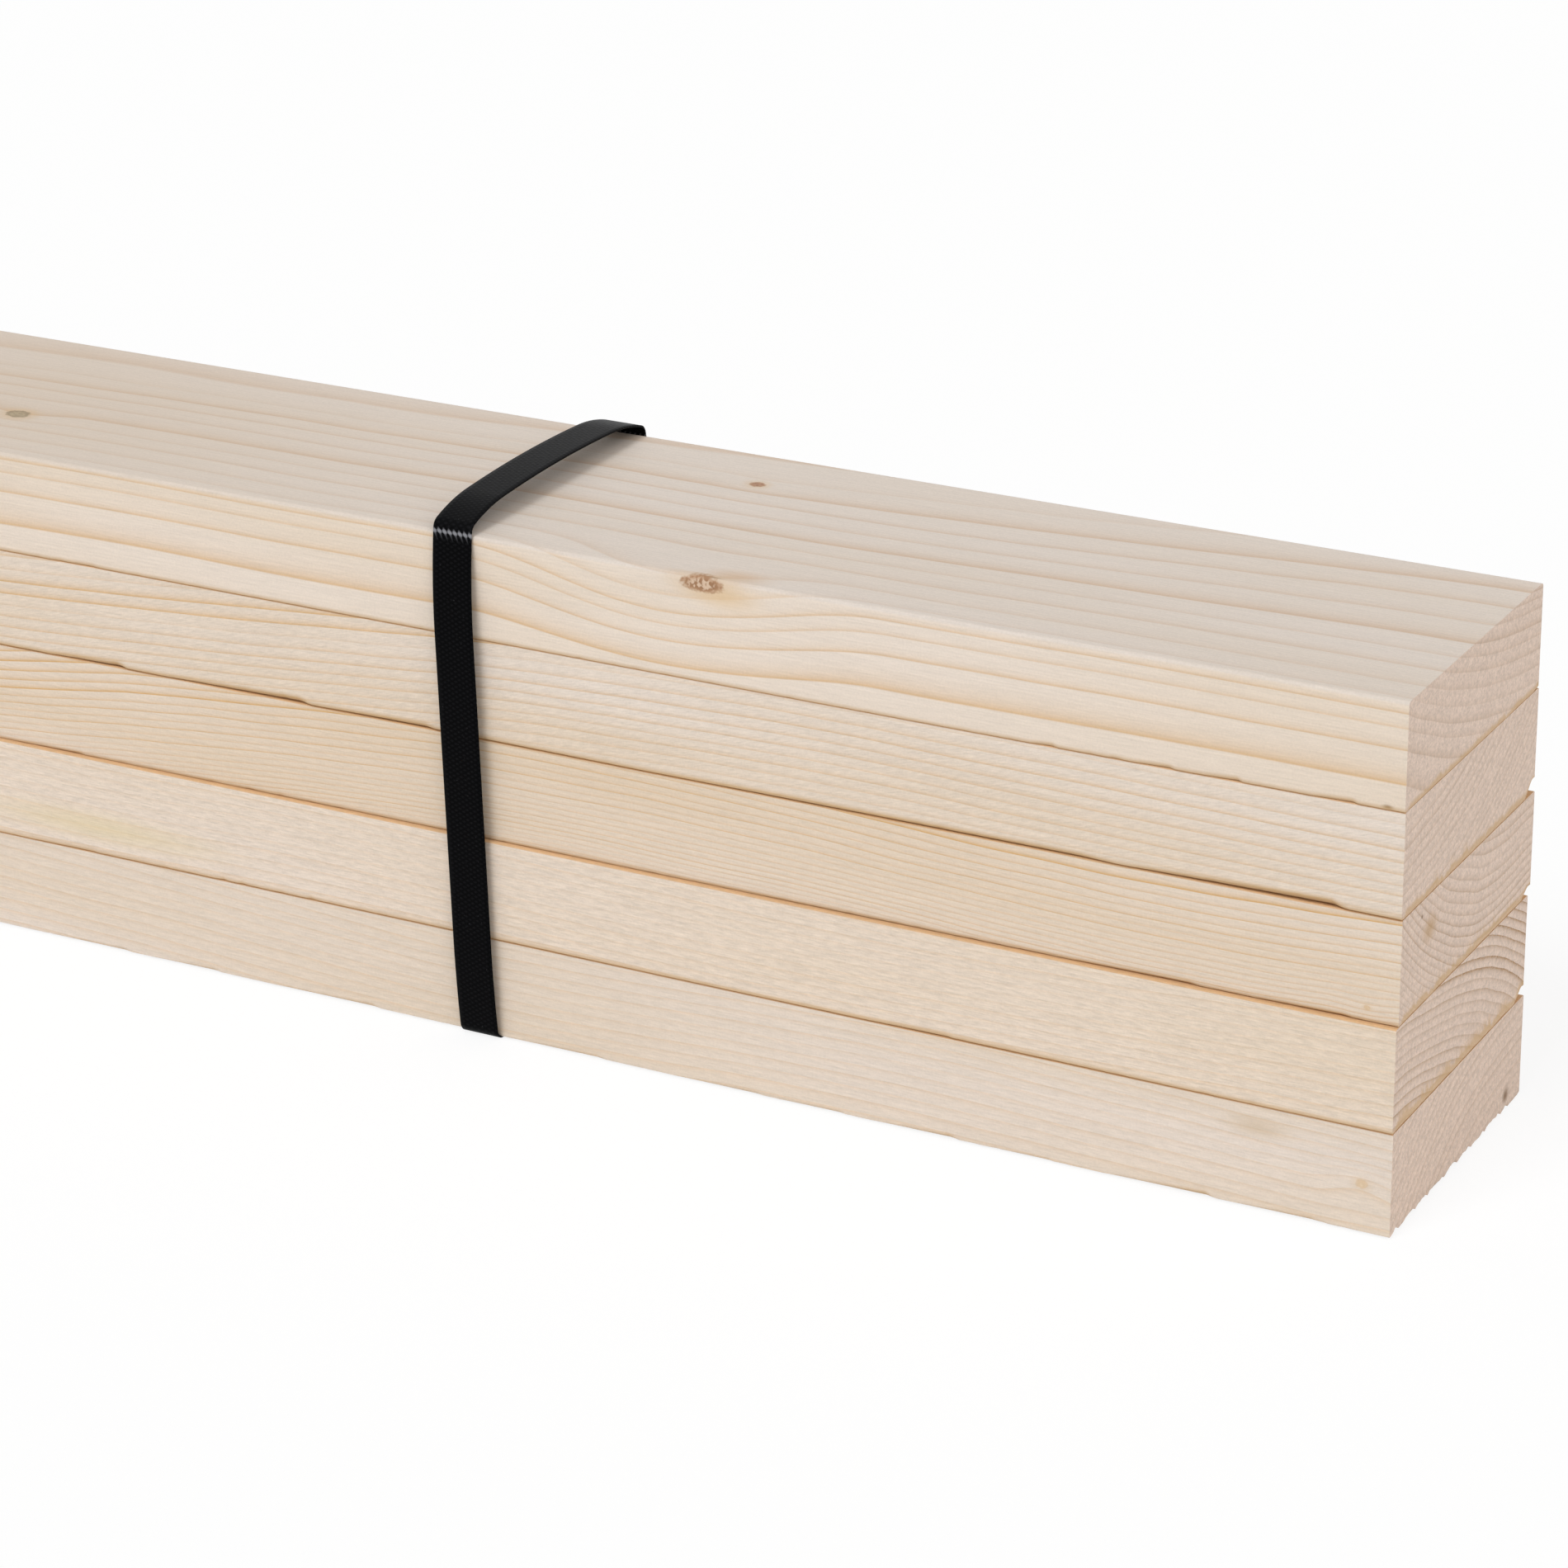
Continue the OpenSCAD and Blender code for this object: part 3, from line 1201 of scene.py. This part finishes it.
    def _along(self, way: float) -> tuple[Vector, Vector]:
        """Point of the loop and its outward normal.

        Args:
            way: Distance from the start of the loop.

        Returns:
            The point and the normal, both across and up.
        """
        way %= self.marks[-1]
        k = min(bisect(self.marks, way), len(self.marks) - 1) - 1
        a, b = self.path[k], self.path[k + 1]
        run = (b - a).normalized()
        return a + run * (way - self.marks[k]), Vector((run.y, -run.x))

    def build(self) -> bpy.types.Object:
        """Model and dress the strap.

        Returns:
            The finished piece.
        """
        turn = self.marks[-1]
        length = turn + self.lap
        bm = bmesh.new()
        bmesh.ops.create_grid(bm, x_segments=self.across_cells, y_segments=round(length / self.step_mm),
                              size=0.5)
        band = bm.verts.layers.float_vector.new("band")
        fold = bm.verts.layers.float.new("fold")
        for vert in bm.verts:
            across = vert.co.x * self.width
            along = (vert.co.y + 0.5) * length
            vert[band] = (across, along, 0.0)
            vert.co = self._place(across, along, turn)
            vert[fold] = self._highlight_share(vert.co)
        bmesh.ops.recalc_face_normals(bm, faces=bm.faces)
        bmesh.ops.solidify(bm, geom=bm.faces[:], thickness=self.thick)
        rims = [e for e in bm.edges if e.is_manifold and e.calc_face_angle() > math.radians(self.sharp_deg)]
        bmesh.ops.bevel(bm, geom=rims, offset=self.edge_r, offset_type="OFFSET", segments=1, profile=0.5,
                        affect="EDGES", material=-1)
        bmesh.ops.scale(bm, vec=(MM,) * 3, verts=bm.verts)
        return keep_piece(bm, self.node, self.finish, self.sharp_deg)

    def _highlight_share(self, place: Vector) -> float:
        """How far the band is painted with its highlight: most on the front fold, over the top stud.

        Args:
            place: Place on the band, in millimetres.

        Returns:
            The share.
        """
        out = Vector((-place.y, place.z)) - self.top_fold
        slope, spread = self.highlight_deg
        off = abs(math.degrees(math.atan2(out.y, out.x)) - slope)
        near = min(1.0, self.highlight_gain * fade(off, spread))
        return max(near, self.low_highlight * fade(-out.y, self.low_highlight_l) if out.y < 0 else 0.0)

    def _place(self, across: float, along: float, turn: float) -> Vector:
        """Place on the inner face of the band.

        Args:
            across: Distance from the middle of the band.
            along: Distance from the inner end of the band, which lies under the lap.
            turn: Length of one turn.

        Returns:
            The place in millimetres.
        """
        point, normal = self._along(along - self.lap / 2)
        point = point + normal * self.thick * ease(along, turn - self.lift_l, turn)
        shift = self.drift * (0.5 - point.y / self.top)
        end = self.high.x - self.inset
        return Vector((self.way * (end + across + shift), point.x, point.y))


@dataclass(frozen=True)
class Lamp:
    """Soft lamp as far away as the sun, so that it lights the whole length alike.

    Attributes:
        name: Its name.
        aim: Direction from the object to the lamp.
        strength: Its strength.
        spread_deg: How wide it is, seen from the object.
        colour: Its colour.
    """
    name: str
    aim: Triple
    strength: float
    spread_deg: float
    colour: str = "#ffffff"

    def build(self) -> None:
        """Put the lamp into the scene."""
        light = bpy.data.lights.new(self.name, "SUN")
        light.energy = self.strength
        light.color = linear(self.colour)[:3]
        light.angle = math.radians(self.spread_deg)
        holder = add_object(self.name, light)
        holder.matrix_world = Vector(self.aim).to_track_quat("Z", "Y").to_matrix().to_4x4()


@dataclass(frozen=True)
class Studio:
    """White floor, even white surroundings and three soft lamps."""
    floor_half: float = 30.0
    floor_colour: str = "#ffffff"
    floor_white: float = 0.85
    fill: float = 0.38
    fill_colour: str = "#fffaf3"
    lamps: tuple[Lamp, ...] = (
        Lamp("key", (-0.15, -0.7, 1.0), 1.34, 24.0, "#f4faff"),
        Lamp("right", (0.75, -0.22, 0.65), 1.08, 70.0),
        Lamp("front", (-0.2, -1.0, 0.2), 0.17, 70.0),
    )
    lens_mm: float = 115.92
    sensor_mm: float = 36.0
    camera_at: Triple = (1.730776, -1.447775, 0.785284)
    right: Triple = (0.88092677, 0.47307107, -0.01310657)
    down: Triple = (0.17274408, -0.34721153, -0.92173946)
    ahead: Triple = (-0.44059903, 0.80972089, -0.38758816)

    def build(self) -> None:
        """Set up the floor, the world, the lamps and the camera."""
        self._floor()
        self._world()
        for lamp in self.lamps:
            lamp.build()
        self._camera()
        bpy.context.scene.view_settings.view_transform = "Standard"

    def _floor(self) -> None:
        """Pale floor that keeps part of the shadow."""
        bm = bmesh.new()
        bmesh.ops.create_grid(bm, x_segments=1, y_segments=1, size=self.floor_half)
        mesh = bpy.data.meshes.new("floor")
        bm.to_mesh(mesh)
        bm.free()
        finish = bpy.data.materials.new("pale_floor")
        nodes = Nodes(finish)
        matte = nodes.put("BsdfDiffuse", {"Color": self.floor_colour})
        white = nodes.put("Emission", {"Strength": 1.0})
        share = nodes.put("Math", (self._seen(nodes), self.floor_white), operation="MULTIPLY")
        surface = nodes.put("MixShader", (share, matte, white))
        nodes.put("OutputMaterial", {"Surface": surface})
        mesh.materials.append(finish)
        floor = add_object("floor", mesh)

    def _seen(self, nodes: Nodes) -> Socket:
        """One for the rays that show the background: camera, mirrored and transmitted ones.

        Args:
            nodes: Nodes of the floor or the world.

        Returns:
            One or zero.
        """
        seen = nodes.put("LightPath", {}, "Is Camera Ray")
        for ray in ("Is Glossy Ray", "Is Transmission Ray"):
            seen = nodes.put("Math", (seen, nodes.put("LightPath", {}, ray)), operation="MAXIMUM")
        return seen

    def _world(self) -> None:
        """White background, and a dimmer even light on the object."""
        world = bpy.data.worlds.new("studio")
        nodes = Nodes(world)
        seen = self._seen(nodes)
        strength = nodes.put("MapRange", (seen, 0.0, 1.0, self.fill, 1.0))
        colour = nodes.put("Mix", {0: seen, 6: self.fill_colour, 7: "#ffffff"}, 2,
                           data_type="RGBA")
        light = nodes.put("Background", {"Color": colour, "Strength": strength})
        nodes.put("OutputWorld", {"Surface": light})
        bpy.context.scene.world = world

    def _camera(self) -> None:
        """Camera at the photograph's viewpoint."""
        data = bpy.data.cameras.new("camera")
        data.lens = self.lens_mm
        data.sensor_width = self.sensor_mm
        camera = add_object("camera", data)
        turn = Matrix((self.right, [-d for d in self.down], [-a for a in self.ahead])).transposed()
        camera.matrix_world = Matrix.Translation(self.camera_at) @ turn.to_4x4()
        bpy.context.scene.camera = camera


def woods() -> list[Pine]:
    """Wood of the five studs, from the bottom up.

    Returns:
        The woods.
    """
    return [
        Pine(seed=1.0, pith=(77.0, -190.0), rings=EvenRings(190.0, 4.3, -0.02),
             ground="#ded1c6", warm="#dacab8", contrast=0.6, end_contrast=0.5, fuzz=0.6,
             sweeps=(Sweep(560, 900, 11.0),),
             knots=(
                 Knot((1189.6, -60, -1.5), (0.1, -1, 0.1), 1.5, KnotKind.PIN, 1.4, 8, 3, (22, 12)),
                 Knot((-310, 60, 6), (0.1, 1, -0.2), 6.5, KnotKind.SOUND, 1.5, 20, 6, (60, 26)),
                 Knot((-820, -60, -4), (0.1, -1, 0.1), 4.0, KnotKind.SMALL, 1.4, 14, 5, (45, 20)),
                 Knot((240, -60, 7), (0.0, -1, 0.2), 2.5, KnotKind.PIN, 1.3, 8, 3, (26, 14)),
             ),
             stains=(
                 Stain((1152, -60, 11), (18, 6, 6), "#bfa684", 0.45),
                 Stain((1200, 46, -13.5), (4, 4.2, 4.2), "#7a5c3e", 0.95),
             )),
        Pine(seed=2.0, pith=(-58.0, -168.0), rings=EvenRings(187.0, 3.6, -0.01),
             ground="#dfd0c2", warm="#decdba", contrast=0.55, end_contrast=1.0, fuzz=1.0,
             bold=tuple(range(8)), sweeps=(Sweep(500, 900, 3.0),),
             knots=(
                 Knot((-150, -60, 5), (0.1, -1, 0.1), 5.5, KnotKind.SOUND, 1.5, 18, 5, (55, 24)),
                 Knot((-930, 60, -3), (0.1, 1, 0.1), 4.0, KnotKind.GREY, 1.4, 14, 4, (45, 20)),
                 Knot((520, 60, 2), (0.1, 1, 0.1), 3.0, KnotKind.SMALL, 1.4, 12, 3, (35, 16)),
             ),
             stains=(Stain((688, -60, -8), (75, 6, 9), "#d9c793", 0.42),)),
        Pine(seed=3.0, pith=(55.0, 141.0), rings=EvenRings(130.0, 4.2, -0.044),
             ground="#dfd0c1", warm="#dbc8b2", contrast=1.3, end_contrast=0.62, fuzz=0.5,
             bold=tuple(range(6, 11)), sweeps=(Sweep(540, 900, 18.6),),
             knots=(
                 Knot((1188.9, -60, -14), (0.1, -1, 0.1), 0.8, KnotKind.PIN, 1.3, 8, 1, (16, 8)),
                 Knot((-560, -60, -2), (0.1, -1, -0.2), 7.0, KnotKind.SOUND, 1.6, 20, 6, (60, 26)),
                 Knot((110, 60, 3), (0.1, 1, -0.1), 4.5, KnotKind.GREY, 1.4, 14, 4, (45, 20)),
             ),
             stains=(
                 Stain((1200, -35, 6.5), (3, 9, 7), "#b38f62", 0.7),
                 Stain((1200, -42.5, 13.5), (3, 1.2, 1.2), "#6f5842", 0.9),
             )),
        Pine(seed=4.0, pith=(-70.0, 185.0), rings=EvenRings(166.0, 4.8, -0.034),
             ground="#e0d3c7", warm="#dccbb8", contrast=1.0, end_contrast=0.5, fuzz=0.8,
             fuzz_slant_deg=14.0, bold=(-1, -2), sweeps=(Sweep(560, 880, 18.0),),
             knots=(
                 Knot((-340, -60, 0), (0.1, -1, -0.1), 4.0, KnotKind.SMALL, 1.4, 14, 4, (45, 20)),
                 Knot((-700, 60, -5), (0.1, 1, 0.1), 6.0, KnotKind.SOUND, 1.5, 18, 5, (55, 24)),
                 Knot((830, 60, 6), (0.1, 1, 0.1), 3.5, KnotKind.SMALL, 1.4, 12, 3, (38, 18)),
             ),
             stains=(Stain((1103, -60, -18.6), (8, 2, 1.4), "#efe6da", 0.8),)),
        Pine(seed=5.0, pith=(85.0, 239.0), ground="#e4d7cb", warm="#e0d0be",
             rings=MarkedRings(-2, (215.0, 222.7, 226.2, 229.3, 232.2, 235.9, 240.9, 245.1, 249.8, 255.2,
                                    260.4, 265.5, 269.9, 276.5, 287.4, 300.0)),
             contrast=1.15, end_contrast=0.45, fuzz=0.3, bold=(0, 3, 11), crisp=(5.0, 10.0), wander=2.5,
             # Grey painted shade of the dimmer light on the upper face
             upper="#d6ccc4", upper_shade_share=0.6, sweeps=(Sweep(760, 870, 1.75),),
             bends=(Bend((930, -72, 5), 12, (90, 45, 45)), Bend((1200, 60, 19), -6.5, (330, 130, 90))),
             knots=(
                 Knot((945.1, -59.5, 16.4), (0.05, -1, 0.1), 2.7, KnotKind.FLECKED, 2.8, 3, 0),
                 Knot((917.4, 30.6, 19), (0.0, -0.2, 1), 2.2, KnotKind.SMALL, 1.3, 8, 0.5, (24, 14)),
                 Knot((634, -21, 19), (0.0, -0.2, 1), 3.4, KnotKind.GREY, 1.3, 10, 2, (30, 16)),
                 Knot((180, 14, 19), (0.1, -0.2, 1), 6.0, KnotKind.SOUND, 1.4, 20, 5, (55, 26)),
                 Knot((-420, -32, 19), (0.1, -0.3, 1), 4.0, KnotKind.SMALL, 1.3, 14, 4, (40, 20)),
                 Knot((-860, 24, 19), (0.0, -0.2, 1), 6.5, KnotKind.SOUND, 1.4, 20, 5, (60, 28)),
                 Knot((-230, 60, 2), (0.1, 1, -0.2), 4.5, KnotKind.SOUND, 1.5, 14, 4, (45, 22)),
                 Knot((-640, -60, 3), (0.1, -1, -0.2), 3.0, KnotKind.PIN, 1.4, 10, 3, (32, 16)),
             ),
             stains=(
                 Stain((600, 0, 19), (330, 110, 8), "#c9b193", 0.3),
                 Stain((956, -55, 19), (18, 9, 4), "#c79a64", 0.4),
                 Stain((954, -60, 13), (20, 4, 7), "#debf94", 0.6),
                 Stain((948, -58.5, 19), (6.5, 0.9, 1.2), "#6b4f35", 0.8),
                 Stain((1194, -60, -18), (3, 2, 1.3), "#8a6a42", 0.9),
             )),
    ]


def tears(*rows: Triple) -> tuple[Tear, ...]:
    """Scallops from rows of start, length and depth."""
    return tuple(Tear(*row) for row in rows)


def studs() -> list[Stud]:
    """The five studs from the bottom up, each with its own wood and wear.

    Returns:
        The studs, not built yet.
    """
    wood_1, wood_2, wood_3, wood_4, wood_5 = woods()
    return [
        Stud("stud_1", seed=11, gap=(), nibble=0.8, fray=1.3, lost=0.75, tooth=13.0, pine=wood_1,
             front_tears=tears(
                 (660, 38, 0.6), (708, 30, 0.7), (762, 46, 0.8), (862, 40, 0.7), (930, 36, 0.5),
                 (972, 26, 0.6), (1008, 34, 0.9), (1052, 26, 0.5), (1096, 42, 1.1), (1142, 34, 0.8))),
        Stud("stud_2", seed=12, nibble=0.7, fray=4.4, corner=3.6, pine=wood_2,
             gap=((-1200, 0.4), (640, 0.4), (1080, 0.6), (1200, 0.5)),
             front_tears=tears((660, 26, 0.4), (1010, 30, 0.5))),
        Stud("stud_3", seed=13, nibble=0.9, fray=3.6, corner=2.8, pine=wood_3,
             gap=((-1200, 0.3), (600, 0.05), (860, 0.15), (1200, 0.3)),
             front_tears=tears((652, 30, 0.5), (1084, 46, 0.7), (1150, 34, 0.6))),
        Stud("stud_4", seed=14, nibble=0.8, fray=3.4, corner=5.0, pine=wood_4,
             gap=((-1200, 0.6), (640, 0.5), (940, 0.7), (1200, 0.6)),
             front_tears=tears(
                 (670, 34, 1.5), (722, 62, 1.8), (790, 46, 1.0), (925, 176, 0.9), (1104, 78, 2.2))),
        Stud("stud_5", seed=15, nibble=0.9, fray=2.4, corner=0.3, top_arris=1.5, pine=wood_5,
             gap=((-1200, 0.12), (850, 0.12), (900, 0.03), (1050, 0.03), (1090, 0.15), (1200, 0.15)),
             front_tears=tears(
                 (676, 18, 0.5), (1068, 10, 0.8), (1106, 14, 0.8), (1130, 14, 0.9), (1168, 16, 0.9))),
    ]


def main() -> None:
    """Build the studs, the straps and the studio, and log each piece's face count."""
    logging.basicConfig(level=logging.INFO, format="%(name)s: %(message)s")
    for stud in studs():
        stud.build()
    plastic = StrapPlastic().material("black_strap_plastic")
    for node, way in (("strap_right", 1), ("strap_left", -1)):
        Strap(node, way, plastic).build()
    Studio().build()


if __name__ == "__main__":
    main()
